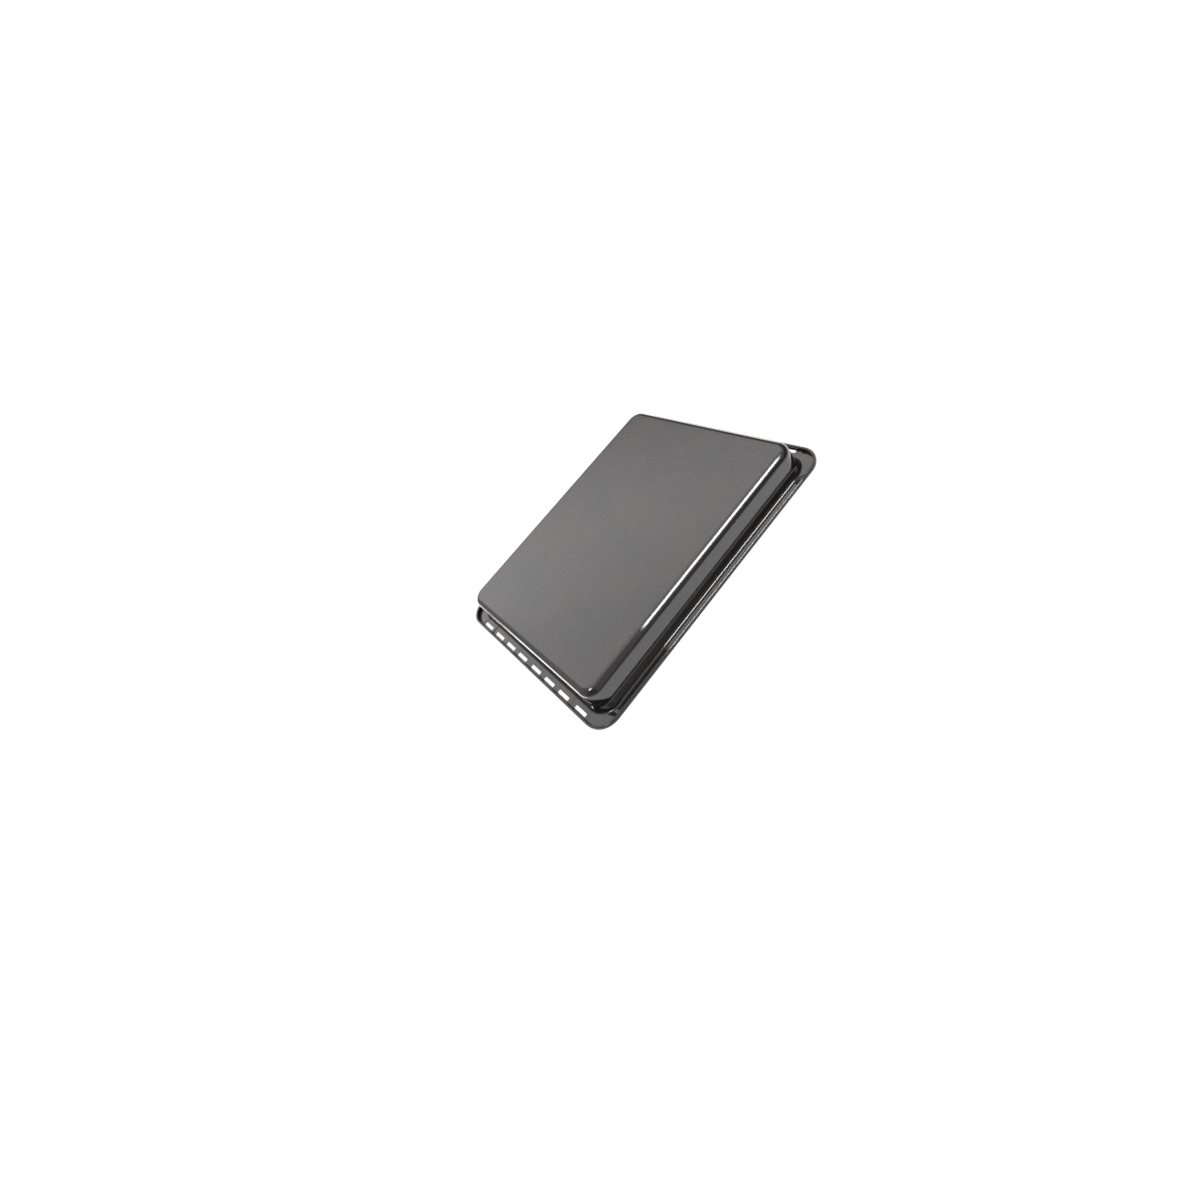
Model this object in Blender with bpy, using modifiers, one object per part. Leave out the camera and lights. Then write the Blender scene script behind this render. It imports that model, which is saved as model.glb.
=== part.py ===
"""Oven drip tray: one sheet of steel, pressed and enamelled, whose rim is rolled round a steel wire.

The tray stands as it is used, open side up, on the flat of its base at z = 0. X runs along the
two slotted ends and Y along the two plain edges. The sheet is drawn by its under skin, the one
that touches the shelf, and its thickness is added on the food side.
"""

import math

import bmesh
import bpy
from mathutils import Vector

# Overall size, in metres
TRAY_WIDTH = 0.385
TRAY_LENGTH = 0.466
TRAY_DEPTH = 0.040
SHEET = 0.0009

# Pan: the bend round the base, the walls and the sloped shoulder under the flange
BASE_BEND_RADIUS = 0.0116
WALL_DRAFT_EDGE = math.radians(12.0)
WALL_DRAFT_END = math.radians(6.0)
WALL_CORNER_RADIUS = 0.026
SHOULDER_RISE = 0.0102
SHOULDER_RUN_EDGE = 0.0057
SHOULDER_RUN_END = 0.0043
SHOULDER_FOOT_RADIUS = 0.0120
SHOULDER_TOP_RADIUS = 0.0025

# Flange: its width is measured from the shoulder's top corner to the outside of the rim
FLANGE_EDGE = 0.0136
FLANGE_END = 0.0169
RIM_CORNER_RADIUS = 0.032
PRESS_EDGE = 0.0006
PRESS_OUTER_SLOT = 0.0006
PRESS_MIDDLE = 0.0016
PRESS_STEP_RUN = 0.0007
JOGGLE_RUN = 0.0060

# Rolled rim and the wire inside it
LIP_DEPTH = 0.0064
RIM_BEND_RADIUS = 0.0008
WIRE_DIAMETER = 0.0016
WIRE_CLEARANCE = 0.0003
ROLL_WRAP = math.radians(280.0)
ROLL_TO_PRESS = 0.0002

# Slots through the flange at both ends
SLOT_LENGTH = 0.0246
SLOT_WIDTH = 0.0048
SLOT_CORNER_RADIUS = 0.0016
SLOT_BAR = 0.0126
SLOT_CENTRE_BAR = 0.0161
SLOT_JOGGLE_BAR = 0.0162
SLOT_CORNER_CLEARANCE = 0.0080
SLOT_TO_PRESS = 0.0008
CUTTER_OVERRUN = 0.0010

# Fineness of the rounded stretches, in segments
CORNER_SEGMENTS = 8
BEND_SEGMENTS = 5
SHOULDER_SEGMENTS = 2
RIM_SEGMENTS = 3
ROLL_SEGMENTS = 10
SLOT_SEGMENTS = 3
SMOOTH_ANGLE = math.radians(40.0)
MERGE_DISTANCE = 0.00001

# Finishes: sRGB colour, roughness, metallic
ENAMEL = ("dark_grey_enamel", (0.165, 0.160, 0.160), 0.28, 0.0)
WIRE_STEEL = ("drawn_steel", (0.42, 0.42, 0.43), 0.40, 1.0)

HALF_WIDTH = TRAY_WIDTH / 2
HALF_LENGTH = TRAY_LENGTH / 2
FLANGE_LEVEL = TRAY_DEPTH - SHEET
ROLL_INNER_RADIUS = WIRE_DIAMETER / 2 + WIRE_CLEARANCE
ROLL_WIDTH = 2 * (ROLL_INNER_RADIUS + SHEET)
ROLL_LEVEL = TRAY_DEPTH - LIP_DEPTH + ROLL_WIDTH / 2
ROLL_INSET = ROLL_WIDTH / 2
PRESS_INSET = ROLL_WIDTH + ROLL_TO_PRESS


def clear_scene():
    """Removes every object that the scene starts with."""
    for item in list(bpy.data.objects):
        bpy.data.objects.remove(item, do_unlink=True)


def new_collection(name):
    """Makes a collection in the scene and gives it back."""
    collection = bpy.data.collections.new(name)
    bpy.context.scene.collection.children.link(collection)
    return collection


def srgb_to_linear(value):
    """Turns one sRGB channel into the linear value that a shader takes."""
    if value <= 0.04045:
        return value / 12.92
    return ((value + 0.055) / 1.055) ** 2.4


def new_material(finish):
    """Makes a Principled material from a finish row."""
    name, colour, roughness, metallic = finish
    material = bpy.data.materials.new(name)
    material.use_nodes = True
    shader = material.node_tree.nodes["Principled BSDF"]
    shader.inputs["Base Color"].default_value = [srgb_to_linear(value) for value in colour] + [1.0]
    shader.inputs["Roughness"].default_value = roughness
    shader.inputs["Metallic"].default_value = metallic
    return material


def new_object(name, mesh, collection, finish=None):
    """Makes an object from a mesh, with its own material where a finish is given."""
    item = bpy.data.objects.new(name, mesh)
    collection.objects.link(item)
    if finish:
        mesh.materials.append(new_material(finish))
    return item


def rounded_corner(before, corner, after, radius, segments):
    """Gives the points of an arc that rounds the corner between two straight runs."""
    towards_before = (before - corner).normalized()
    towards_after = (after - corner).normalized()
    half_angle = towards_before.angle(towards_after) / 2
    reach = radius / math.tan(half_angle)
    middle = (towards_before + towards_after).normalized()
    centre = corner + middle * (radius / math.sin(half_angle))
    first = corner + towards_before * reach - centre
    last = corner + towards_after * reach - centre
    return [centre + first.slerp(last, step / segments) * radius for step in range(segments + 1)]


def roll_arc(half_size):
    """Gives the inside of the rolled rim, from the lip's face down, round and over the wire."""
    centre = Vector((half_size - ROLL_INSET, ROLL_LEVEL))
    points = []
    for step in range(ROLL_SEGMENTS + 1):
        angle = ROLL_WRAP * step / ROLL_SEGMENTS
        points.append(centre + Vector((math.cos(angle), -math.sin(angle))) * ROLL_INNER_RADIUS)
    return points


def section(half_size, flange_width, shoulder_run, draft, press):
    """Gives the under skin's section from the base to the curl: distance from the centre, height.

    The press is how far the flange is set down below the corners of the rim. It slides the
    flange's inner corner down the shoulder, so that the shoulder keeps its slope.
    """
    shoulder_top = Vector((half_size - flange_width, FLANGE_LEVEL))
    shoulder_foot = shoulder_top - Vector((shoulder_run, SHOULDER_RISE))
    wall_foot = Vector((shoulder_foot.x - shoulder_foot.y * math.tan(draft), 0.0))
    base_middle = Vector((0.0, 0.0))
    shoulder_end = shoulder_top - Vector((shoulder_run / SHOULDER_RISE, 1.0)) * press
    pressed = Vector((half_size - PRESS_INSET, FLANGE_LEVEL - press))
    raised = Vector((half_size - PRESS_INSET + PRESS_STEP_RUN, FLANGE_LEVEL))
    rim_corner = Vector((half_size - SHEET, FLANGE_LEVEL))
    roll = roll_arc(half_size)

    points = rounded_corner(base_middle, wall_foot, shoulder_foot, BASE_BEND_RADIUS, BEND_SEGMENTS)
    points += rounded_corner(
        wall_foot, shoulder_foot, shoulder_end, SHOULDER_FOOT_RADIUS, SHOULDER_SEGMENTS
    )
    points += rounded_corner(
        shoulder_foot, shoulder_end, pressed, SHOULDER_TOP_RADIUS, SHOULDER_SEGMENTS
    )
    points += [pressed, raised]
    points += rounded_corner(raised, rim_corner, roll[0], RIM_BEND_RADIUS, RIM_SEGMENTS)
    return points + roll


def edge_section(press):
    """Gives the section through a plain edge, along X."""
    return section(HALF_WIDTH, FLANGE_EDGE, SHOULDER_RUN_EDGE, WALL_DRAFT_EDGE, press)


def end_section(press):
    """Gives the section through a slotted end, along Y."""
    return section(HALF_LENGTH, FLANGE_END, SHOULDER_RUN_END, WALL_DRAFT_END, press)


def corner_radii():
    """Gives each section point's corner radius in plan.

    The pan's corners are concentric with the wall's corner and the rim's with the rim's corner,
    and along the shoulder the radius grows evenly from the one to the other.
    """
    edge = edge_section(0.0)
    foot_index = BEND_SEGMENTS + 1
    top_index = foot_index + 2 * SHOULDER_SEGMENTS + 1
    foot = edge[foot_index].x
    top = edge[top_index].x
    top_radius = RIM_CORNER_RADIUS - PRESS_INSET / 2
    radii = []
    for index, point in enumerate(edge):
        if index <= foot_index:
            radii.append(WALL_CORNER_RADIUS - (foot - point.x))
        elif index <= top_index:
            share = (point.x - foot) / (top - foot)
            radii.append(WALL_CORNER_RADIUS + share * (top_radius - WALL_CORNER_RADIUS))
        else:
            radii.append(RIM_CORNER_RADIUS - (HALF_WIDTH - point.x))
    return radii


def slots_each_side():
    """Counts the slots that fit between the middle of an end and its rounded corner."""
    straight = HALF_WIDTH - RIM_CORNER_RADIUS - SLOT_CORNER_CLEARANCE
    room = straight - SLOT_CENTRE_BAR / 2 - (SLOT_JOGGLE_BAR - SLOT_BAR) + SLOT_BAR
    return int(room / (SLOT_LENGTH + SLOT_BAR))


def slot_centres():
    """Gives the slots' places along one half of an end, from the middle outwards."""
    centres = []
    start = SLOT_CENTRE_BAR / 2
    count = slots_each_side()
    for index in range(count):
        centres.append(start + SLOT_LENGTH / 2)
        is_last_inner = index == count - 2
        start += SLOT_LENGTH + (SLOT_JOGGLE_BAR if is_last_inner else SLOT_BAR)
    return centres


def joggle_place():
    """Gives the middle of the wide bar before the outermost slot, where the flange steps."""
    return slot_centres()[-1] - SLOT_LENGTH / 2 - SLOT_JOGGLE_BAR / 2


def place_on_edge(points, along):
    """Turns an edge's section into a column of points at a place along Y."""
    return [Vector((point.x, along, point.y)) for point in points]


def place_on_end(points, along):
    """Turns an end's section into a column of points at a place along X."""
    return [Vector((along, point.x, point.y)) for point in points]


def place_on_corner(edge, end, radii, angle):
    """Blends the edge's section into the end's at an angle round the corner."""
    column = []
    share = math.sin(angle) ** 2
    for edge_point, end_point, radius in zip(edge, end, radii):
        centre = Vector((edge_point.x - radius, end_point.x - radius))
        spot = centre + Vector((math.cos(angle), math.sin(angle))) * radius
        height = edge_point.y + share * (end_point.y - edge_point.y)
        column.append(Vector((spot.x, spot.y, height)))
    return column


def quarter_columns():
    """Gives the under skin's columns round one quarter, from the +X side to the +Y side.

    The flange is pressed down along the edges and behind the slots, and rises to the full
    height of the rim within the first and last segments of each corner.
    """
    radii = corner_radii()
    pressed_edge = edge_section(PRESS_EDGE)
    pressed_end = end_section(PRESS_OUTER_SLOT)
    columns = [place_on_edge(pressed_edge, 0.0)]
    for step in range(CORNER_SEGMENTS + 1):
        angle = math.pi / 2 * step / CORNER_SEGMENTS
        edge = pressed_edge if step == 0 else edge_section(0.0)
        end = pressed_end if step == CORNER_SEGMENTS else end_section(0.0)
        columns.append(place_on_corner(edge, end, radii, angle))
    middle_end = end_section(PRESS_MIDDLE)
    columns.append(place_on_end(pressed_end, joggle_place() + JOGGLE_RUN / 2))
    columns.append(place_on_end(middle_end, joggle_place() - JOGGLE_RUN / 2))
    columns.append(place_on_end(middle_end, 0.0))
    return columns


def skin_mesh(name, columns):
    """Joins the columns into an open skin that faces down and out, closed over the base."""
    shape = bmesh.new()
    grid = [[shape.verts.new(point) for point in column] for column in columns]
    for column, following in zip(grid, grid[1:]):
        for index in range(len(column) - 1):
            corners = (column[index], following[index], following[index + 1], column[index + 1])
            shape.faces.new(corners)
    middle = shape.verts.new((0.0, 0.0, 0.0))
    shape.faces.new([middle] + [column[0] for column in reversed(grid)])
    mesh = bpy.data.meshes.new(name)
    shape.to_mesh(mesh)
    shape.free()
    return mesh


def slot_mesh():
    """Makes the cutter of one slot: an upright block with rounded corners."""
    shape = bmesh.new()
    bmesh.ops.create_cube(shape, size=1.0)
    low = FLANGE_LEVEL - max(PRESS_MIDDLE, PRESS_OUTER_SLOT) - CUTTER_OVERRUN
    high = TRAY_DEPTH + CUTTER_OVERRUN
    bmesh.ops.scale(shape, vec=(SLOT_LENGTH, SLOT_WIDTH, high - low), verts=shape.verts)
    bmesh.ops.translate(shape, vec=(0.0, 0.0, (high + low) / 2), verts=shape.verts)
    upright = [edge for edge in shape.edges if is_upright(edge)]
    bmesh.ops.bevel(
        shape,
        geom=upright,
        offset=SLOT_CORNER_RADIUS,
        segments=SLOT_SEGMENTS,
        profile=0.5,
        affect="EDGES",
    )
    mesh = bpy.data.meshes.new("slot_cutter")
    shape.to_mesh(mesh)
    shape.free()
    return mesh


def is_upright(edge):
    """Tells whether an edge runs along Z."""
    first, last = edge.verts
    return abs(first.co.z - last.co.z) > abs(first.co.x - last.co.x) + abs(first.co.y - last.co.y)


def make_slot_cutters(collection):
    """Places a cutter at every slot of both ends."""
    mesh = slot_mesh()
    inset = PRESS_INSET + SLOT_TO_PRESS + SLOT_WIDTH / 2
    for end_sign in (-1, 1):
        for side_sign in (-1, 1):
            for centre in slot_centres():
                cutter = new_object("slot_cutter", mesh, collection)
                cutter.location = (side_sign * centre, end_sign * (HALF_LENGTH - inset), 0.0)
                cutter.hide_render = True
                cutter.display_type = "WIRE"


def add_mirror(item):
    """Completes the quarter across both of its open planes."""
    mirror = item.modifiers.new("Four quarters", "MIRROR")
    mirror.use_axis = (True, True, False)
    mirror.merge_threshold = MERGE_DISTANCE


def add_thickness(item):
    """Gives the skin the sheet's thickness on the food side."""
    solidify = item.modifiers.new("Sheet", "SOLIDIFY")
    solidify.thickness = SHEET
    solidify.offset = -1.0
    solidify.use_even_offset = True
    solidify.use_rim = True


def add_cuts(item, cutters):
    """Cuts the slots through the sheet."""
    cut = item.modifiers.new("Slots", "BOOLEAN")
    cut.operation = "DIFFERENCE"
    cut.operand_type = "COLLECTION"
    cut.collection = cutters
    cut.solver = "EXACT"


def make_tray(collection, cutters):
    """Makes the pressing: pan, shoulder, flange, rolled rim and slots in one sheet."""
    mesh = skin_mesh("tray_pressing", quarter_columns())
    tray = new_object("tray_pressing", mesh, collection, ENAMEL)
    add_mirror(tray)
    add_thickness(tray)
    add_cuts(tray, cutters)
    mesh.shade_smooth()
    mesh.set_sharp_from_angle(angle=SMOOTH_ANGLE)


def rim_path():
    """Gives the wire's path: a rounded rectangle down the middle of the rolled rim."""
    radius = RIM_CORNER_RADIUS - ROLL_INSET
    reach_x = HALF_WIDTH - RIM_CORNER_RADIUS
    reach_y = HALF_LENGTH - RIM_CORNER_RADIUS
    quarter_turn = math.pi / 2
    centres = ((reach_x, reach_y), (-reach_x, reach_y), (-reach_x, -reach_y), (reach_x, -reach_y))
    points = []
    for corner, centre in enumerate(centres):
        for step in range(CORNER_SEGMENTS + 1):
            angle = quarter_turn * (corner + step / CORNER_SEGMENTS)
            across = centre[0] + radius * math.cos(angle)
            along = centre[1] + radius * math.sin(angle)
            points.append((across, along, ROLL_LEVEL))
    return points


def make_rim_wire(collection):
    """Makes the steel wire that the rim is rolled round, as one closed ring."""
    path = rim_path()
    curve = bpy.data.curves.new("rim_wire", "CURVE")
    curve.dimensions = "3D"
    curve.bevel_depth = WIRE_DIAMETER / 2
    curve.bevel_resolution = 2
    spline = curve.splines.new("POLY")
    spline.points.add(len(path) - 1)
    for point, place in zip(spline.points, path):
        point.co = (*place, 1.0)
    spline.use_cyclic_u = True
    new_object("rim_wire", curve, collection, WIRE_STEEL)


def main():
    clear_scene()
    parts = new_collection("oven_drip_tray")
    cutters = new_collection("slot_cutters")
    make_slot_cutters(cutters)
    make_tray(parts, cutters)
    make_rim_wire(parts)


if __name__ == "__main__":
    main()
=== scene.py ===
"""Oven drip tray, dressed for its picture.

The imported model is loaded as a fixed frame. The pressing is modelled again over its node with
finer bends, rounded slots and an enamel finish, and the wire in its rim gets a drawn steel one.
The tray stands on its base at z = 0, open side up, and the camera looks up at its underside.
"""

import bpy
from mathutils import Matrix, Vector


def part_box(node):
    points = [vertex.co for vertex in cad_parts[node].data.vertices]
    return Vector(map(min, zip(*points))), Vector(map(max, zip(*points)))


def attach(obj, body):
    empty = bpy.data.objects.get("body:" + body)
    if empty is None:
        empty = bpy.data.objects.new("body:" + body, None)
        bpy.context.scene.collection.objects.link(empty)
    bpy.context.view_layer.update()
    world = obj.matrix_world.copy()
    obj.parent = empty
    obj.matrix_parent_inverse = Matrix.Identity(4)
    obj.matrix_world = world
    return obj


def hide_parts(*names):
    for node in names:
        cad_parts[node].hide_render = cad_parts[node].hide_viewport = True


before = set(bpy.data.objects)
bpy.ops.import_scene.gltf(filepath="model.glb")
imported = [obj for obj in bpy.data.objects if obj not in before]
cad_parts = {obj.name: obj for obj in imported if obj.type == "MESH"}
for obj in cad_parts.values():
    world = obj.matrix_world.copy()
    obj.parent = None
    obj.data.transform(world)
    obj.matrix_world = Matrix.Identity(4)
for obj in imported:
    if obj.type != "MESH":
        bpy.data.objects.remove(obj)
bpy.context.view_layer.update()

import math
from collections import namedtuple

import bpy
from bpy.props import FloatProperty, FloatVectorProperty, IntProperty, PointerProperty
from bpy.types import Operator, Panel, PropertyGroup
from mathutils import Matrix, Vector

bl_info = {
    "name": "Oven drip tray",
    "version": (1, 0, 0),
    "blender": (4, 5, 0),
    "location": "3D View > Sidebar > Drip tray",
    "description": "Models an enamelled oven drip tray round its packed solids and sets its stage",
    "category": "Add Mesh",
}

MILLIMETRE = 0.001
TRAY_LOW, TRAY_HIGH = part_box("tray_pressing")

# Places closer together than this count as one
SMALL = 0.02 * MILLIMETRE


def hex_to_linear(code):
    """Turns an sRGB hex colour into the linear values that shaders and lamps take."""
    channels = [int(code[start:start + 2], 16) / 255 for start in (0, 2, 4)]
    return tuple(
        value / 12.92 if value <= 0.04045 else ((value + 0.055) / 1.055) ** 2.4
        for value in channels
    )


def length_size(name, description, millimetres):
    """Makes a length property whose default is given in millimetres."""
    return FloatProperty(
        name=name, description=description, default=millimetres * MILLIMETRE,
        min=0.0, unit="LENGTH", precision=5,
    )


def angle_size(name, description, degrees):
    """Makes an angle property whose default is given in degrees."""
    return FloatProperty(
        name=name, description=description, default=math.radians(degrees), subtype="ANGLE",
    )


def colour_choice(name, description, code):
    """Makes a colour property whose default is an sRGB hex value."""
    return FloatVectorProperty(
        name=name, description=description, default=hex_to_linear(code),
        subtype="COLOR", min=0.0, max=1.0,
    )


class DripTraySizes(PropertyGroup):
    """Sizes of the tray, measured on the underside of its sheet."""

    width: FloatProperty(
        name="Width", description="Over the rims of the two plain edges",
        default=TRAY_HIGH.x - TRAY_LOW.x, unit="LENGTH", precision=5,
    )
    length: FloatProperty(
        name="Length", description="Over the rims of the two slotted ends",
        default=TRAY_HIGH.y - TRAY_LOW.y, unit="LENGTH", precision=5,
    )
    depth: length_size("Depth", "From the underside of the base to the top of the rim", 40.0)
    sheet: length_size("Sheet", "Thickness of the steel with its enamel", 0.9)
    base_bend: length_size("Base bend", "Outer radius of the bend round the base", 11.6)
    edge_draft: angle_size("Edge draft", "Slope of the long walls from upright", 12.0)
    end_draft: angle_size("End draft", "Slope of the walls at the slotted ends", 6.0)
    base_corner: length_size("Base corner", "Corner radius at the foot of the walls", 20.5)
    wall_corner: length_size("Wall corner", "Corner radius at the top of the walls", 26.0)
    shoulder_rise: length_size("Shoulder rise", "Height of the slope under the flange", 10.2)
    shoulder_edge: length_size("Shoulder at the edges", "Width of that slope, plain edges", 5.7)
    shoulder_end: length_size("Shoulder at the ends", "Width of that slope, slotted ends", 4.3)
    flange_edge: length_size("Edge flange", "Flange width with the rim, plain edges", 13.6)
    flange_end: length_size("End flange", "Flange width with the rim, slotted ends", 16.9)
    rim_corner: length_size("Rim corner", "Corner radius of the rim's outside", 32.0)
    edge_press: length_size("Edge pressing", "How far the plain edges are set down", 0.6)
    outer_press: length_size("Outer slot pressing", "How far the outermost slots are set down", 0.6)
    middle_press: length_size("Middle pressing", "How far the other slots are set down", 1.6)
    lip_depth: length_size("Lip depth", "From the top of the rim to the foot of its roll", 6.4)
    wire: length_size("Wire", "Diameter of the wire in the rim", 1.6)
    wire_clearance: length_size("Wire clearance", "Room between the wire and the roll", 0.3)
    slot_length: length_size("Slot length", "Length of a slot in the ends", 24.6)
    slot_width: length_size("Slot width", "Width of a slot in the ends", 4.8)
    slot_corner: length_size("Slot corner", "Corner radius of a slot", 1.6)
    slot_bar: length_size("Slot bar", "Bar between two slots", 12.6)
    wide_bar: length_size("Wide bar", "Bar in the middle and before the outermost slots", 16.15)
    slots_a_side: IntProperty(
        name="Slots a side", description="Slots from the middle of an end to its corner",
        default=4, min=1,
    )


class DripTrayFinish(PropertyGroup):
    """Colours of the tray's finishes and of its stage."""

    enamel: colour_choice("Enamel", "Ground colour of the fired enamel", "343033")
    cloud: colour_choice("Cloud", "Warmer colour of its large faint clouds", "3E3735")
    grain: colour_choice("Grain", "Paler colour of its fine grain", "575351")
    speck: colour_choice("Speck", "Colour of the few pale specks in it", "A8A39C")
    steel: colour_choice("Steel", "Colour of the drawn steel wire", "8F8E8C")
    floor: colour_choice("Floor", "Colour of the studio floor", "F2F2F0")


# Fineness of the model: segments of its bends and corners, and the wire's bevel resolution
CORNER_SEGMENTS = 24
BEND_SEGMENTS = 10
ROLL_SEGMENTS = 22
SLOT_SEGMENTS = 6
SLOT_EDGE_SEGMENTS = 3
WIRE_RESOLUTION = 3

# Decimals that tell the weights of two bends, and two levels of the flange in metres, apart
WEIGHT_DECIMALS = 4
LEVEL_DECIMALS = 7

# Bends that the panel doesn't list, by the radius of their inside
SHOULDER_FOOT_RADIUS = 12.0 * MILLIMETRE
SHOULDER_TOP_RADIUS = 2.5 * MILLIMETRE
STEP_RADIUS = 0.2 * MILLIMETRE
RIM_BEND_RADIUS = 0.8 * MILLIMETRE

# The step beside the rim lies over the edge of the roll, and the slots stay clear of its bend
STEP_RUN = 0.7 * MILLIMETRE
STEP_OVER_ROLL = 0.4 * MILLIMETRE
SLOT_TO_STEP = 1.4 * MILLIMETRE
SLOT_EDGE_ROUNDING = 0.35 * MILLIMETRE

# How far the lip goes round the wire, and the sharpest edge that is shaded smooth
ROLL_WRAP = math.radians(280.0)
SMOOTH_ANGLE = math.radians(50.0)

# Lines of points where the set-down flange changes its level: at the joggle before an outermost
# slot, and over the last stretch before each corner, where it rises to the level of the rim
JOGGLE_RUN = 6.0 * MILLIMETRE
JOGGLE_STATIONS = 7
RAMP_RUN = 7.3 * MILLIMETRE
RAMP_STATIONS = 7

# A ring of the pressing: where it crosses X and Y, its corner radius in plan and its height,
# and the inner radius of the bend that rounds it
Ring = namedtuple("Ring", "name x y radius height bend", defaults=(0.0,))


def step_inset(sizes):
    """Gives how far the foot of the flange's step lies inside the rim."""
    return roll_width(sizes) - STEP_OVER_ROLL


def cage_rings(sizes):
    """Lists the sharp rings of the pressing, from the foot of the wall out to the lip."""
    half_x = sizes.width / 2
    half_y = sizes.length / 2
    top = sizes.depth - sizes.sheet
    foot_height = top - sizes.shoulder_rise
    shoulder_x = half_x - sizes.flange_edge
    shoulder_y = half_y - sizes.flange_end
    foot_x = shoulder_x - sizes.shoulder_edge
    foot_y = shoulder_y - sizes.shoulder_end
    inset_x = foot_height * math.tan(sizes.edge_draft)
    inset_y = foot_height * math.tan(sizes.end_draft)

    def rim_ring(name, inset, bend):
        return Ring(name, half_x - inset, half_y - inset, sizes.rim_corner - inset, top, bend)

    return [
        Ring(
            "wall_foot", foot_x - inset_x, foot_y - inset_y,
            sizes.base_corner, 0.0, sizes.base_bend - sizes.sheet,
        ),
        Ring(
            "shoulder_foot", foot_x, foot_y, sizes.wall_corner, foot_height,
            SHOULDER_FOOT_RADIUS,
        ),
        Ring(
            "shoulder_top", shoulder_x, shoulder_y, sizes.rim_corner - step_inset(sizes) / 2,
            top, SHOULDER_TOP_RADIUS,
        ),
        rim_ring("step_foot", step_inset(sizes), STEP_RADIUS),
        rim_ring("step_top", step_inset(sizes) - STEP_RUN, STEP_RADIUS),
        rim_ring("rim_bend", sizes.sheet, RIM_BEND_RADIUS),
    ]


def roll_inner_radius(sizes):
    """Gives the radius of the roll's inside, which clears the wire."""
    return sizes.wire / 2 + sizes.wire_clearance


def roll_width(sizes):
    """Gives the diameter over the outside of the roll."""
    return 2 * (roll_inner_radius(sizes) + sizes.sheet)


def roll_height(sizes):
    """Gives the height of the middle of the roll, where the wire lies."""
    return sizes.depth - sizes.lip_depth + roll_width(sizes) / 2


def roll_rings(sizes):
    """Lists the rings of the roll, from the lip's face down, round and over the wire."""
    inner = roll_inner_radius(sizes)
    middle_inset = roll_width(sizes) / 2
    rings = []
    for step in range(ROLL_SEGMENTS + 1):
        angle = ROLL_WRAP * step / ROLL_SEGMENTS
        inset = middle_inset - math.cos(angle) * inner
        height = roll_height(sizes) - math.sin(angle) * inner
        rings.append(Ring(
            f"roll_{step}", sizes.width / 2 - inset, sizes.length / 2 - inset,
            sizes.rim_corner - inset, height,
        ))
    return rings


def slot_centres(sizes):
    """Gives the places of the slots along half of an end, from the middle outwards."""
    centres = []
    start = sizes.wide_bar / 2
    for index in range(sizes.slots_a_side):
        centres.append(start + sizes.slot_length / 2)
        before_last = index == sizes.slots_a_side - 2
        start += sizes.slot_length + (sizes.wide_bar if before_last else sizes.slot_bar)
    return centres


def joggle_place(sizes):
    """Gives the middle of the bar where the flange steps between two levels."""
    return slot_centres(sizes)[-1] - (sizes.slot_length + sizes.wide_bar) / 2


def smooth_share(value, start, end):
    """Rises smoothly from 0 at the start to 1 at the end."""
    share = min(max((value - start) / (end - start), 0.0), 1.0)
    return share * share * (3 - 2 * share)


def set_down(place, ring, sizes):
    """Gives how far a ring of the flange is set down at a place on it."""
    corner = ring_corner(ring)
    if place.y > corner.y + SMALL:
        half_run = JOGGLE_RUN / 2
        middle = joggle_place(sizes)
        share = smooth_share(place.x, middle - half_run, middle + half_run)
        level = sizes.middle_press + share * (sizes.outer_press - sizes.middle_press)
        return level * (1.0 - smooth_share(place.x, corner.x - RAMP_RUN, corner.x))
    return sizes.edge_press * (1.0 - smooth_share(place.y, corner.y - RAMP_RUN, corner.y))


def deselect_everything():
    """Clears the selection of objects, which loading the frame leaves full."""
    bpy.ops.object.select_all(action="DESELECT")


def pick(piece, test, domain="VERT"):
    """Selects the points, edges or faces of a piece in edit mode that pass a test."""
    bpy.ops.object.mode_set(mode="EDIT")
    bpy.ops.mesh.select_mode(type=domain)
    bpy.ops.mesh.select_all(action="DESELECT")
    bpy.ops.object.mode_set(mode="OBJECT")
    mesh = piece.data
    items = {"VERT": mesh.vertices, "EDGE": mesh.edges, "FACE": mesh.polygons}[domain]
    for item in items:
        if test(item):
            item.select = True
    bpy.ops.object.mode_set(mode="EDIT")


def on_ring(piece, name):
    """Makes a test for the points of a ring, which are kept as a vertex group."""
    number = piece.vertex_groups[name].index
    return lambda point: any(entry.group == number for entry in point.groups)


def ring_corner(ring):
    """Gives the centre of a ring's rounded corner."""
    return Vector((ring.x - ring.radius, ring.y - ring.radius, ring.height))


def stations_along_end(sizes, corner):
    """Gives the places along an end where the sheet gets a line of points."""
    half_run = JOGGLE_RUN / 2
    middle = joggle_place(sizes)
    step = JOGGLE_RUN / (JOGGLE_STATIONS - 1)
    joggle = [middle - half_run + step * index for index in range(JOGGLE_STATIONS)]
    return slot_centres(sizes) + joggle + stations_near_corner(corner)


def stations_near_corner(corner):
    """Gives the places just before a corner where the set-down flange rises again."""
    step = RAMP_RUN / RAMP_STATIONS
    return [corner - RAMP_RUN + step * index for index in range(RAMP_STATIONS)]


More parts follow.
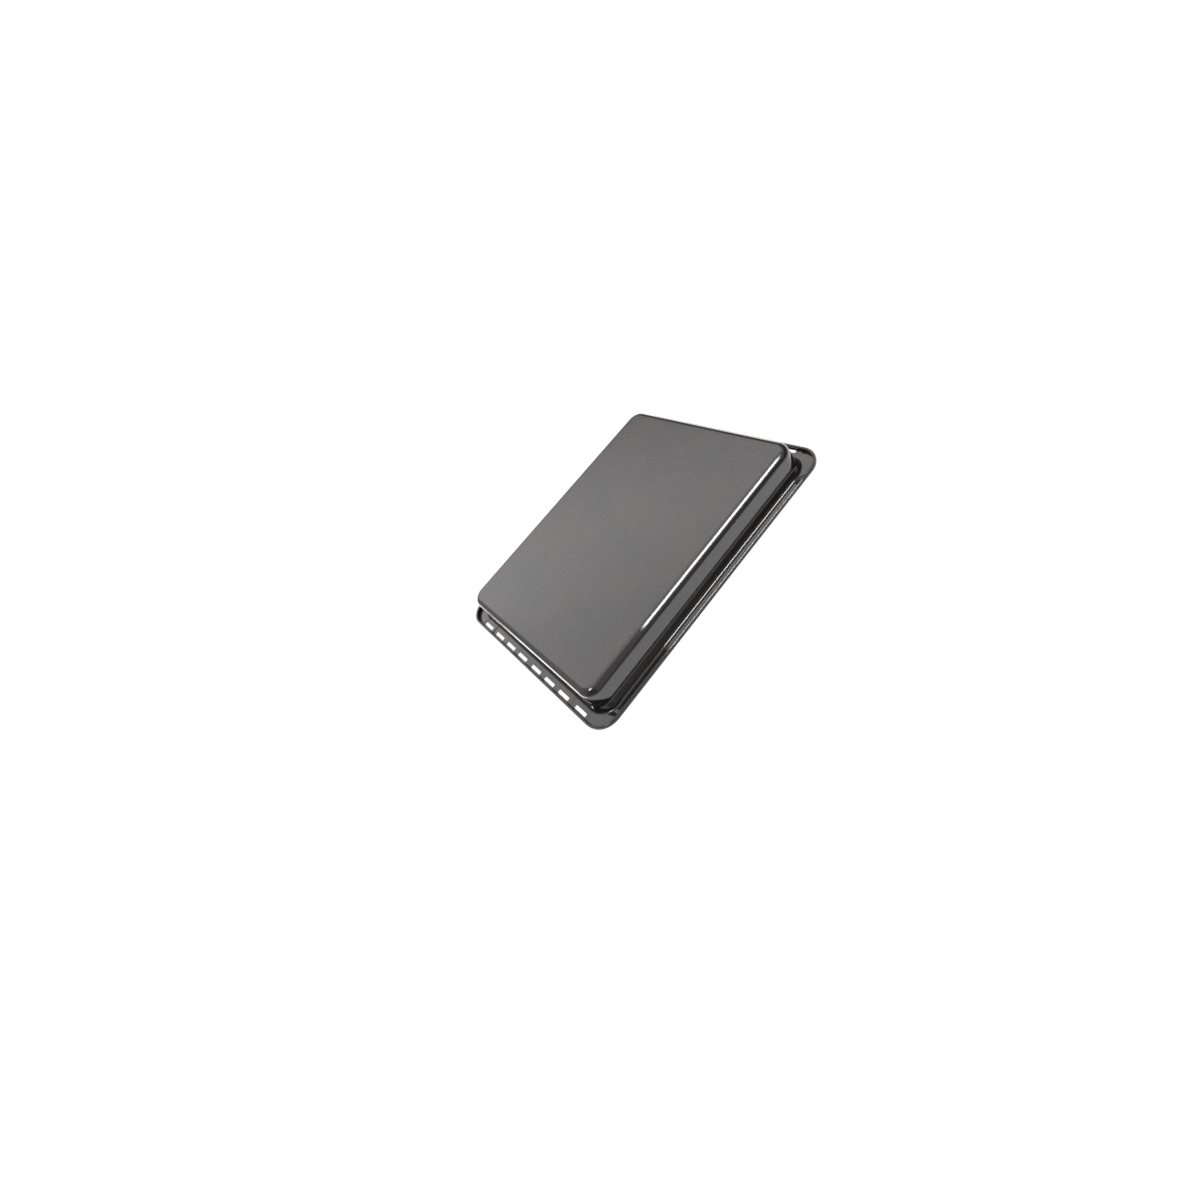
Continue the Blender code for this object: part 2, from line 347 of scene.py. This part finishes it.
def start_base(ring, sizes):
    """Adds a quarter of the base as a plane, rounds its corner and cuts it at the stations."""
    deselect_everything()
    bpy.ops.mesh.primitive_plane_add(size=1.0, location=(0.5, 0.5, 0.0))
    bpy.ops.object.transform_apply(location=True)
    piece = bpy.context.object
    piece.name = "enamelled_pressing"
    piece.data.name = piece.name
    bpy.ops.object.mode_set(mode="EDIT")
    bpy.ops.transform.resize(value=(ring.x, ring.y, 1.0), center_override=(0.0, 0.0, 0.0))
    pick(piece, lambda point: point.co.x > SMALL and point.co.y > SMALL)
    bpy.ops.mesh.bevel(offset=ring.radius, segments=CORNER_SEGMENTS, affect="VERTICES")
    corner = ring_corner(ring)
    cuts = [((place, 0.0, 0.0), (1.0, 0.0, 0.0)) for place in stations_along_end(sizes, corner.x)]
    cuts += [((0.0, place, 0.0), (0.0, 1.0, 0.0)) for place in stations_near_corner(corner.y)]
    for place, normal in cuts:
        bpy.ops.mesh.select_all(action="SELECT")
        bpy.ops.mesh.bisect(plane_co=place, plane_no=normal)
    pick(piece, on_outline(ring))
    name_ring(piece, ring)
    return piece


def on_outline(ring):
    """Makes a test for the points of the base's outline."""
    corner = ring_corner(ring)

    def test(point):
        place = point.co
        if place.x > corner.x and place.y > corner.y:
            return abs((place - corner).length - ring.radius) < SMALL
        return place.x > ring.x - SMALL or place.y > ring.y - SMALL

    return test


def name_ring(piece, ring):
    """Puts the selected points in a new vertex group that has the ring's name."""
    piece.vertex_groups.new(name=ring.name)
    bpy.ops.object.vertex_group_assign()


def ring_shifts(last, ring):
    """Lists the stretches of a ring that move as one.

    Each has a test of the place, whether it grows about the corner's centre, and its shift.
    """
    corner = ring_corner(last)
    shift = ring_corner(ring) - corner
    run_x = ring.x - last.x
    run_y = ring.y - last.y
    near_x = corner.x - RAMP_RUN - SMALL
    near_y = corner.y - RAMP_RUN - SMALL

    def at_corner(place):
        return place.x > corner.x - SMALL and place.y > corner.y - SMALL

    def at_end(place):
        return place.y > corner.y - SMALL and not at_corner(place)

    def at_edge(place):
        return place.x > corner.x - SMALL and not at_corner(place)

    def beside(is_there, is_near, near_shift, far_shift):
        return [
            (lambda place: is_there(place) and is_near(place), False, near_shift),
            (lambda place: is_there(place) and not is_near(place), False, far_shift),
        ]

    return [
        (at_corner, True, shift),
        *beside(
            at_end, lambda place: place.x > near_x,
            Vector((shift.x, run_y, shift.z)), Vector((0.0, run_y, shift.z)),
        ),
        *beside(
            at_edge, lambda place: place.y > near_y,
            Vector((run_x, shift.y, shift.z)), Vector((run_x, 0.0, shift.z)),
        ),
    ]


def extrude_ring(piece, last, ring):
    """Extrudes the selected outer edge and moves the new edge to the next ring."""
    bpy.ops.mesh.extrude_region_move(TRANSFORM_OT_translate={"value": (0.0, 0.0, 0.0)})
    bpy.ops.object.vertex_group_remove_from(use_all_groups=True)
    name_ring(piece, ring)
    bpy.ops.object.mode_set(mode="OBJECT")
    is_on_ring = on_ring(piece, ring.name)
    places = {
        point.index: point.co.copy() for point in piece.data.vertices if is_on_ring(point)
    }
    growth = ring.radius / last.radius
    for test, grows, shift in ring_shifts(last, ring):
        moved = {index for index, place in places.items() if test(place)}
        pick(piece, lambda point: point.index in moved)
        if grows:
            bpy.ops.transform.resize(
                value=(growth, growth, 1.0), center_override=ring_corner(last),
            )
        bpy.ops.transform.translate(value=shift)
    pick(piece, is_on_ring)


def extrude_cage(sizes):
    """Extrudes a quarter's sharp cage from the base's outline, ring by ring."""
    rings = cage_rings(sizes) + roll_rings(sizes)
    piece = start_base(rings[0], sizes)
    for last, ring in zip(rings, rings[1:]):
        extrude_ring(piece, last, ring)
    bpy.ops.object.mode_set(mode="OBJECT")
    return piece


def bend_reaches(piece, rings, sheet):
    """Works out how far each ring's bend reaches back from its sharp edges, on both skins.

    A bend reaches further where the sheet turns more, so the turn is measured between the two
    faces at the edge. On the outside of the turn its radius is larger by the sheet's thickness.
    """
    mesh = piece.data
    beside = {}
    for face in mesh.polygons:
        for key in face.edge_keys:
            beside.setdefault(key, []).append(face)
    reaches = {}
    for ring in rings:
        is_on_ring = on_ring(piece, ring.name)
        for edge in mesh.edges:
            faces = beside[edge.key]
            if len(faces) < 2 or not all(is_on_ring(mesh.vertices[i]) for i in edge.vertices):
                continue
            first, second = faces
            turn = first.normal.angle(second.normal, 0.0)
            is_outside = (second.center - first.center).dot(first.normal) < 0.0
            radius = ring.bend + sheet if is_outside else ring.bend
            reach = radius * math.tan(turn / 2)
            if reach > SMALL:
                reaches[edge.index] = reach
    return reaches


def round_bends(piece, sizes):
    """Rounds the rings by one bevel, whose weights give every edge the reach of its bend."""
    reaches = bend_reaches(piece, cage_rings(sizes), sizes.sheet)
    widest = max(reaches.values())
    weights = {}
    for index, reach in reaches.items():
        weights.setdefault(round(reach / widest, WEIGHT_DECIMALS), set()).add(index)
    for weight, indices in weights.items():
        pick(piece, lambda edge: edge.index in indices, "EDGE")
        bpy.ops.transform.edge_bevelweight(value=weight)
    bpy.ops.object.mode_set(mode="OBJECT")
    bevel = piece.modifiers.new("Bends", "BEVEL")
    bevel.width = widest
    bevel.segments = BEND_SEGMENTS
    bevel.limit_method = "WEIGHT"
    bevel.use_clamp_overlap = False
    bpy.ops.object.modifier_apply(modifier=bevel.name)


def set_flange_down(piece, sizes, ring, slide):
    """Sets a ring of the flange down. The slide keeps the slope of the shoulder beside it."""
    bpy.ops.object.mode_set(mode="OBJECT")
    is_on_ring = on_ring(piece, ring.name)
    levels = {}
    for point in piece.data.vertices:
        depth = set_down(point.co, ring, sizes)
        if is_on_ring(point) and depth > 0.0:
            at_end = point.co.y > ring_corner(ring).y + SMALL
            levels.setdefault((round(depth, LEVEL_DECIMALS), at_end), set()).add(point.index)
    for (depth, at_end), indices in levels.items():
        pick(piece, lambda point: point.index in indices)
        inward = Vector((0.0, -slide.y, 0.0)) if at_end else Vector((-slide.x, 0.0, 0.0))
        bpy.ops.transform.translate(value=inward * depth + Vector((0.0, 0.0, -depth)))


def give_thickness(piece, sizes):
    """Gives the sheet its thickness on the food side, open on the planes of symmetry."""
    bpy.ops.object.mode_set(mode="OBJECT")
    solidify = piece.modifiers.new("Sheet", "SOLIDIFY")
    solidify.thickness = sizes.sheet
    solidify.offset = 1.0
    solidify.use_even_offset = True
    solidify.use_quality_normals = True
    bpy.ops.object.modifier_apply(modifier=solidify.name)
    points = piece.data.vertices

    def on_plane(face):
        places = [points[index].co for index in face.vertices]
        on_x = all(abs(place.x) < SMALL for place in places)
        return on_x or all(abs(place.y) < SMALL for place in places)

    pick(piece, on_plane, "FACE")
    bpy.ops.mesh.delete(type="FACE")
    bpy.ops.object.mode_set(mode="OBJECT")


def slot_line(sizes):
    """Gives how far the slots' middle line lies from the middle of the tray."""
    return sizes.length / 2 - step_inset(sizes) - SLOT_TO_STEP - sizes.slot_width / 2


def add_slot_cutters(sizes):
    """Models one slot's cutter, copies it to the others of the quarter and joins them."""
    deselect_everything()
    centres = slot_centres(sizes)
    height = sizes.depth
    bpy.ops.mesh.primitive_cube_add(size=1.0, location=(centres[0], slot_line(sizes), height))
    cutter = bpy.context.object
    cutter.name = "slot_cutter"
    cutter.scale = (sizes.slot_length, sizes.slot_width, height / 2)
    bpy.ops.object.transform_apply(location=False, rotation=False, scale=True)
    points = cutter.data.vertices
    pick(cutter, lambda edge: is_upright(edge, points), "EDGE")
    bpy.ops.mesh.bevel(offset=sizes.slot_corner, segments=SLOT_SEGMENTS)
    bpy.ops.object.mode_set(mode="OBJECT")
    copies = []
    for centre in centres[1:]:
        make_active(cutter)
        bpy.ops.object.duplicate()
        copy = bpy.context.object
        copy.location.x = centre
        copies.append(copy)
    make_active(cutter)
    for copy in copies:
        copy.select_set(True)
    bpy.ops.object.join()
    bpy.ops.object.transform_apply(location=True)
    complete_quarters(cutter)
    return cutter


def is_upright(edge, points):
    """Tells whether an edge runs along Z."""
    run = points[edge.vertices[0]].co - points[edge.vertices[1]].co
    return abs(run.z) > abs(run.x) + abs(run.y)


def cut_slots(piece, sizes):
    """Cuts the quarter's slots and rounds their edges on both faces, as enamel leaves them."""
    cutter = add_slot_cutters(sizes)
    make_active(piece)
    cut = piece.modifiers.new("Slots", "BOOLEAN")
    cut.object = cutter
    cut.solver = "EXACT"
    bpy.ops.object.modifier_apply(modifier=cut.name)
    bpy.data.objects.remove(cutter, do_unlink=True)
    points = piece.data.vertices
    line = slot_line(sizes)
    half_width = sizes.slot_width / 2 + SMALL
    half_length = sizes.slot_length / 2 + SMALL

    def in_slot(place):
        beside = min(abs(abs(place.x) - centre) for centre in slot_centres(sizes))
        return abs(abs(place.y) - line) < half_width and beside < half_length

    def on_rim(edge):
        ends = [points[index].co for index in edge.vertices]
        return abs(ends[0].z - ends[1].z) < SMALL and all(in_slot(end) for end in ends)

    pick(piece, on_rim, "EDGE")
    bpy.ops.mesh.bevel(
        offset=SLOT_EDGE_ROUNDING, segments=SLOT_EDGE_SEGMENTS, clamp_overlap=False,
    )
    bpy.ops.object.mode_set(mode="OBJECT")


def make_active(piece):
    """Selects one piece alone and makes it the active object."""
    deselect_everything()
    piece.select_set(True)
    bpy.context.view_layer.objects.active = piece


def complete_quarters(piece):
    """Mirrors a quarter across both planes of symmetry."""
    mirror = piece.modifiers.new("Quarters", "MIRROR")
    mirror.use_axis = (True, True, False)
    mirror.merge_threshold = SMALL / 2
    bpy.ops.object.modifier_apply(modifier=mirror.name)


def finish_surface(piece):
    """Points the faces outwards, shades the bends smooth and keeps the flats flat."""
    bpy.ops.object.mode_set(mode="EDIT")
    bpy.ops.mesh.select_all(action="SELECT")
    bpy.ops.mesh.normals_make_consistent(inside=False)
    bpy.ops.object.mode_set(mode="OBJECT")
    piece.vertex_groups.clear()
    bpy.ops.object.shade_smooth_by_angle(angle=SMOOTH_ANGLE)
    weighted = piece.modifiers.new("Flats", "WEIGHTED_NORMAL")
    weighted.keep_sharp = True
    bpy.ops.object.modifier_apply(modifier=weighted.name)


def add_node(tree, kind, settings=None, values=None, links=None):
    """Adds a shader node with its settings, its sockets' values and the links into it.

    A socket goes by its name, or by its number where a node gives the same name to several.
    """
    node = tree.nodes.new(kind)
    for name, value in (settings or {}).items():
        setattr(node, name, value)
    for socket, value in (values or {}).items():
        node.inputs[socket].default_value = value
    for socket, source in (links or {}).items():
        tree.links.new(source, node.inputs[socket])
    return node


# Setting of a Map Range node that starts and stops softly
SMOOTHLY = {"interpolation_type": "SMOOTHSTEP"}


def between(edge, first=0.0, last=1.0):
    """Gives the values of a Map Range node that goes from first to last between two edges."""
    return {"From Min": edge[0], "From Max": edge[1], "To Min": first, "To Max": last}


def new_material(name):
    """Makes an empty node material and gives it back with its tree."""
    material = bpy.data.materials.new(name)
    material.use_nodes = True
    material.node_tree.nodes.clear()
    return material, material.node_tree


# Patterns in the enamel: the size of one cloud, grain or wave, and how many finer layers it has.
# Real grain is finer than this one, which is as coarse as it has to be to show in the picture.
Pattern = namedtuple("Pattern", "size detail")
CLOUDS = Pattern(90.0 * MILLIMETRE, 3.0)
GRAIN = Pattern(1.7 * MILLIMETRE, 2.0)
RIPPLE = Pattern(5.0 * MILLIMETRE, 1.0)
RIPPLE_HEIGHT = 0.0015 * MILLIMETRE
SPECK_SPACING = 9.0 * MILLIMETRE

# Where each pattern begins to tint the ground and where its colour is full. Clouds and grain go
# by the noise, and a speck by the distance from its middle, as a share of the spacing.
CLOUD_EDGE = (0.40, 0.65)
GRAIN_EDGE = (0.45, 0.75)
SPECK_EDGE = (0.37 * MILLIMETRE / SPECK_SPACING, 0.24 * MILLIMETRE / SPECK_SPACING)

# Roughness of the finishes, and the refractive index of the enamel's glass
ENAMEL_ROUGHNESS = 0.06
STEEL_ROUGHNESS = 0.38
PAPER_ROUGHNESS = 1.0
ENAMEL_IOR = 1.52


def vitreous_enamel(finish):
    """Vitreous enamel, dipped and fired on pressed steel: a dark grey glass with a sharp gloss.

    Fine grain and warm clouds keep its flats from looking like paint, a few pale specks show
    where the frit didn't melt in, and a low ripple makes the edges of its highlights waver.
    """
    material, tree = new_material("vitreous_enamel")
    place = add_node(tree, "ShaderNodeTexCoord").outputs["Object"]
    clouds, grain, ripple = (
        add_node(
            tree, "ShaderNodeTexNoise",
            values={"Scale": 1.0 / pattern.size, "Detail": pattern.detail},
            links={"Vector": place},
        ).outputs["Fac"]
        for pattern in (CLOUDS, GRAIN, RIPPLE)
    )
    specks = add_node(
        tree, "ShaderNodeTexVoronoi", values={"Scale": 1.0 / SPECK_SPACING},
        links={"Vector": place},
    ).outputs["Distance"]
    colour = add_node(tree, "ShaderNodeRGB").outputs["Color"]
    colour.default_value = (*finish.enamel, 1.0)
    layers = (
        (clouds, CLOUD_EDGE, finish.cloud),
        (grain, GRAIN_EDGE, finish.grain),
        (specks, SPECK_EDGE, finish.speck),
    )
    for pattern, edge, tint in layers:
        share = add_node(
            tree, "ShaderNodeMapRange", SMOOTHLY, between(edge), {"Value": pattern},
        ).outputs["Result"]
        colour = add_node(
            tree, "ShaderNodeMixRGB", values={"Color2": (*tint, 1.0)},
            links={"Fac": share, "Color1": colour},
        ).outputs["Color"]
    bump = add_node(
        tree, "ShaderNodeBump", values={"Strength": 1.0, "Distance": RIPPLE_HEIGHT},
        links={"Height": ripple},
    )
    shader = add_node(
        tree, "ShaderNodeBsdfPrincipled",
        values={"Roughness": ENAMEL_ROUGHNESS, "IOR": ENAMEL_IOR},
        links={"Base Color": colour, "Normal": bump.outputs["Normal"]},
    )
    add_node(tree, "ShaderNodeOutputMaterial", links={"Surface": shader.outputs["BSDF"]})
    return material


def drawn_steel(finish):
    """Drawn mild steel wire: a plain grey metal with a soft sheen."""
    material, tree = new_material("drawn_steel")
    shader = add_node(
        tree, "ShaderNodeBsdfPrincipled",
        values={
            "Base Color": (*finish.steel, 1.0), "Metallic": 1.0, "Roughness": STEEL_ROUGHNESS,
        },
    )
    add_node(tree, "ShaderNodeOutputMaterial", links={"Surface": shader.outputs["BSDF"]})
    return material


class DRIP_TRAY_OT_add_pressing(Operator):
    """Model the enamelled pressing, from its base out to the rolled rim"""

    bl_idname = "drip_tray.add_pressing"
    bl_label = "Add pressing"

    def execute(self, context):
        sizes = context.scene.drip_tray_sizes
        piece = extrude_cage(sizes)
        slopes = {
            "shoulder_top": Vector((sizes.shoulder_edge, sizes.shoulder_end)),
            "step_foot": Vector((0.0, 0.0)),
        }
        for ring in cage_rings(sizes):
            if ring.name in slopes:
                set_flange_down(piece, sizes, ring, slopes[ring.name] / sizes.shoulder_rise)
        give_thickness(piece, sizes)
        round_bends(piece, sizes)
        complete_quarters(piece)
        cut_slots(piece, sizes)
        finish_surface(piece)
        piece.data.materials.append(vitreous_enamel(context.scene.drip_tray_finish))
        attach(piece, "root")
        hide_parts("tray_pressing")
        return {"FINISHED"}


class DRIP_TRAY_OT_add_rim_wire(Operator):
    """Model the steel wire that the rim is rolled round"""

    bl_idname = "drip_tray.add_rim_wire"
    bl_label = "Add rim wire"

    def execute(self, context):
        sizes = context.scene.drip_tray_sizes
        inset = roll_width(sizes) / 2
        reach = Vector((sizes.width / 2 - inset, sizes.length / 2 - inset))
        deselect_everything()
        bpy.ops.mesh.primitive_plane_add(size=2.0, location=(0.0, 0.0, roll_height(sizes)))
        piece = bpy.context.object
        piece.name = "drawn_rim_wire"
        piece.scale = (reach.x, reach.y, 1.0)
        bpy.ops.object.transform_apply(location=True, rotation=True, scale=True)
        bpy.ops.object.mode_set(mode="EDIT")
        bpy.ops.mesh.select_all(action="SELECT")
        bpy.ops.mesh.bevel(
            offset=sizes.rim_corner - inset, segments=CORNER_SEGMENTS, affect="VERTICES",
        )
        bpy.ops.mesh.delete(type="ONLY_FACE")
        bpy.ops.object.mode_set(mode="OBJECT")
        bpy.ops.object.convert(target="CURVE")
        piece = bpy.context.object
        piece.data.bevel_depth = sizes.wire / 2
        piece.data.bevel_resolution = WIRE_RESOLUTION
        bpy.ops.object.convert(target="MESH")
        piece = bpy.context.object
        bpy.ops.object.shade_smooth()
        piece.data.materials.append(drawn_steel(context.scene.drip_tray_finish))
        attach(piece, "root")
        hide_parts("rim_wire")
        return {"FINISHED"}


# Camera, solved from the tray's outlines and slots in the photograph. Its sensor's width and its
# lens are in millimetres, and its shift is a share of the picture.
CAMERA_PLACE = Vector((0.5946, 0.1648, -0.4495))
CAMERA_AIM = Vector((0.2071, 0.0723, 0.0))
CAMERA_ROLL = math.radians(138.339)
CAMERA_SENSOR = 36.0
CAMERA_LENS = 15.585
CAMERA_SHIFT = (-0.0660, 0.0192)
CAMERA_CLIP = 0.01


def add_camera():
    """Adds the camera at the photograph's viewing angle, looking up at the underside."""
    turn = (CAMERA_AIM - CAMERA_PLACE).to_track_quat("-Z", "Y").to_matrix()
    turn = turn @ Matrix.Rotation(CAMERA_ROLL, 3, "Z")
    bpy.ops.object.camera_add(location=CAMERA_PLACE, rotation=turn.to_euler())
    camera = bpy.context.object
    camera.data.sensor_width = CAMERA_SENSOR
    camera.data.lens = CAMERA_LENS
    camera.data.shift_x, camera.data.shift_y = CAMERA_SHIFT
    camera.data.clip_start = CAMERA_CLIP
    bpy.context.scene.camera = camera


# Soft lamps: place, the point that each faces, width and height, brightness of its face, and
# whether it lights the body of a colour or shows in its gloss
Softbox = namedtuple("Softbox", "name place aim size radiance in_body in_gloss")
SOFTBOXES = (
    Softbox(
        "key_softbox", (0.681, -0.41, -0.971), (0.165, -0.41, 0.0), (0.78, 0.55), 22.0,
        in_body=False, in_gloss=True,
    ),
    Softbox(
        "corner_softbox", (0.28, 0.90, -1.30), (0.16, 0.19, 0.0), (0.34, 0.42), 18.0,
        in_body=False, in_gloss=True,
    ),
    Softbox(
        "side_softbox", (-0.80, 1.59, 0.58), (0.0, 0.20, 0.0), (1.80, 0.42), 4.0,
        in_body=False, in_gloss=True,
    ),
    Softbox(
        "fill_softbox", (-1.30, -0.36, -1.00), (0.0, 0.0, 0.0), (1.90, 1.70), 3.4,
        in_body=True, in_gloss=False,
    ),
    Softbox(
        "top_softbox", (0.30, -0.40, 1.20), (0.0, 0.0, 0.0), (1.00, 1.00), 3.3,
        in_body=True, in_gloss=True,
    ),
)

# Brightness that the body of a colour gets from the surroundings, the same from all sides
BODY_LIGHT = 0.22

# Brightness that gloss shows there, built up in this order. A change goes by X, Y or Z of the
# direction, or by how far that points to LOWER_AIM. It goes smoothly from its first to its last
# value between two edges, and is added to what comes before it or multiplies that.
Change = namedtuple("Change", "source edge first last operation")
LOWER_AIM = (0.10, 0.35, -1.00)
LOWER_LIGHT = Change("aim", (0.07, 0.50), 0.0, 2.35, "ADD")
DIMMER_TO_PLUS_X = Change("X", (0.40, -0.20), 0.35, 1.0, "MULTIPLY")
DIMMER_TO_PLUS_Y = Change("Y", (0.45, 0.15), 0.35, 1.0, "MULTIPLY")
HORIZON = Change("Z", (-0.12, 0.02), 0.05, 0.85, "ADD")
BAND_FOOT = Change("Z", (0.25, 0.34), 0.0, 1.8, "ADD")
BAND_TOP = Change("Z", (0.48, 0.62), 0.0, -1.7, "ADD")
STUDIO = (LOWER_LIGHT, DIMMER_TO_PLUS_X, DIMMER_TO_PLUS_Y, HORIZON, BAND_FOOT, BAND_TOP)

WHITE = (1.0, 1.0, 1.0, 1.0)
FLOOR_SIZE = 4.0


def add_softbox(softbox):
    """Adds a rectangular soft lamp, which the camera doesn't see.

    A lamp takes its power, which is pi times the brightness of its face times the face's area.
    """
    place = Vector(softbox.place)
    turn = (Vector(softbox.aim) - place).to_track_quat("-Z", "Y").to_euler()
    bpy.ops.object.light_add(type="AREA", location=place, rotation=turn)
    lamp = bpy.context.object
    lamp.name = softbox.name
    lamp.data.shape = "RECTANGLE"
    lamp.data.size, lamp.data.size_y = softbox.size
    lamp.data.energy = softbox.radiance * math.pi * softbox.size[0] * softbox.size[1]
    lamp.visible_camera = False
    lamp.visible_diffuse = softbox.in_body
    lamp.visible_glossy = softbox.in_gloss


def studio_brightness(tree):
    """Adds the nodes that work out what brightness gloss shows in each direction.

    The walls of the long edges reflect the bright band above the horizon, and the slope under
    the flange the dark one below it. Lower down it is bright again, but less so towards the far
    side of the tray, towards +X, where that slope looks, and towards +Y.
    """
    direction = add_node(tree, "ShaderNodeTexCoord").outputs["Generated"]
    parts = add_node(tree, "ShaderNodeSeparateXYZ", links={"Vector": direction}).outputs
    aim = add_node(
        tree, "ShaderNodeVectorMath", settings={"operation": "DOT_PRODUCT"},
        values={1: LOWER_AIM}, links={0: direction},
    )
    sources = {"aim": aim.outputs["Value"], "X": parts["X"], "Y": parts["Y"], "Z": parts["Z"]}
    brightness = add_node(tree, "ShaderNodeValue").outputs["Value"]
    brightness.default_value = 0.0
    for change in STUDIO:
        amount = add_node(
            tree, "ShaderNodeMapRange", SMOOTHLY, between(change.edge, change.first, change.last),
            {"Value": sources[change.source]},
        )
        brightness = add_node(
            tree, "ShaderNodeMath", settings={"operation": change.operation},
            links={0: brightness, 1: amount.outputs["Result"]},
        ).outputs["Value"]
    return brightness


def set_world():
    """Sets a white background for the camera and a studio's surroundings for the light.

    The white also shows through what is clear. Gloss shows the studio, not the white.
    """
    world = bpy.data.worlds.new("studio")
    world.use_nodes = True
    bpy.context.scene.world = world
    tree = world.node_tree
    tree.nodes.clear()
    rays = add_node(tree, "ShaderNodeLightPath").outputs
    matt = add_node(
        tree, "ShaderNodeBackground", values={"Color": WHITE, "Strength": BODY_LIGHT},
    )
    gloss = add_node(
        tree, "ShaderNodeBackground", values={"Color": WHITE},
        links={"Strength": studio_brightness(tree)},
    )
    white = add_node(tree, "ShaderNodeBackground", values={"Color": WHITE, "Strength": 1.0})
    studio = add_node(
        tree, "ShaderNodeMixShader",
        links={"Fac": rays["Is Glossy Ray"], 1: matt.outputs[0], 2: gloss.outputs[0]},
    )
    sees_white = add_node(
        tree, "ShaderNodeMath", settings={"operation": "ADD"},
        links={0: rays["Is Camera Ray"], 1: rays["Is Transmission Ray"]},
    )
    surroundings = add_node(
        tree, "ShaderNodeMixShader",
        links={"Fac": sees_white.outputs["Value"], 1: studio.outputs[0], 2: white.outputs[0]},
    )
    add_node(tree, "ShaderNodeOutputWorld", links={"Surface": surroundings.outputs[0]})


def studio_paper(finish):
    """Matt white studio paper, which shows from above and lets the view from below through."""
    material, tree = new_material("studio_paper")
    paper = add_node(
        tree, "ShaderNodeBsdfDiffuse",
        values={"Color": (*finish.floor, 1.0), "Roughness": PAPER_ROUGHNESS},
    )
    clear = add_node(tree, "ShaderNodeBsdfTransparent")
    is_below = add_node(tree, "ShaderNodeNewGeometry").outputs["Backfacing"]
    mix = add_node(
        tree, "ShaderNodeMixShader",
        links={"Fac": is_below, 1: paper.outputs[0], 2: clear.outputs[0]},
    )
    add_node(tree, "ShaderNodeOutputMaterial", links={"Surface": mix.outputs[0]})
    return material


def add_floor(finish):
    """Adds the floor under the base, which only the camera sees, so lamps below reach the tray."""
    deselect_everything()
    bpy.ops.mesh.primitive_plane_add(size=FLOOR_SIZE, location=(0.0, 0.0, TRAY_LOW.z))
    floor = bpy.context.object
    floor.name = "studio_floor"
    floor.data.materials.append(studio_paper(finish))
    floor.visible_diffuse = False
    floor.visible_glossy = False
    floor.visible_transmission = False
    floor.visible_shadow = False


class DRIP_TRAY_OT_add_stage(Operator):
    """Set the world, the floor, the lamps and the camera"""

    bl_idname = "drip_tray.add_stage"
    bl_label = "Add stage"

    def execute(self, context):
        context.scene.view_settings.view_transform = "Standard"
        set_world()
        add_floor(context.scene.drip_tray_finish)
        for softbox in SOFTBOXES:
            add_softbox(softbox)
        add_camera()
        return {"FINISHED"}


class DRIP_TRAY_PT_sidebar(Panel):
    """Panel that lists the tray's pieces, sizes and colours"""

    bl_label = "Drip tray"
    bl_idname = "DRIP_TRAY_PT_sidebar"
    bl_space_type = "VIEW_3D"
    bl_region_type = "UI"
    bl_category = "Drip tray"

    def draw(self, context):
        for operator in OPERATORS:
            self.layout.operator(operator.bl_idname)
        for group in (context.scene.drip_tray_sizes, context.scene.drip_tray_finish):
            box = self.layout.box()
            for name in group.__annotations__:
                box.prop(group, name)


OPERATORS = (DRIP_TRAY_OT_add_pressing, DRIP_TRAY_OT_add_rim_wire, DRIP_TRAY_OT_add_stage)
CLASSES = (DripTraySizes, DripTrayFinish, *OPERATORS, DRIP_TRAY_PT_sidebar)


def register():
    """Registers the add-on's classes and hangs its sizes and colours on the scene."""
    for item in CLASSES:
        bpy.utils.register_class(item)
    bpy.types.Scene.drip_tray_sizes = PointerProperty(type=DripTraySizes)
    bpy.types.Scene.drip_tray_finish = PointerProperty(type=DripTrayFinish)


def unregister():
    """Takes the sizes and colours off the scene and removes the classes."""
    del bpy.types.Scene.drip_tray_finish
    del bpy.types.Scene.drip_tray_sizes
    for item in reversed(CLASSES):
        bpy.utils.unregister_class(item)


def main():
    """Registers the add-on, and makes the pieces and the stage."""
    register()
    bpy.ops.drip_tray.add_pressing()
    bpy.ops.drip_tray.add_rim_wire()
    bpy.ops.drip_tray.add_stage()


if __name__ == "__main__":
    main()
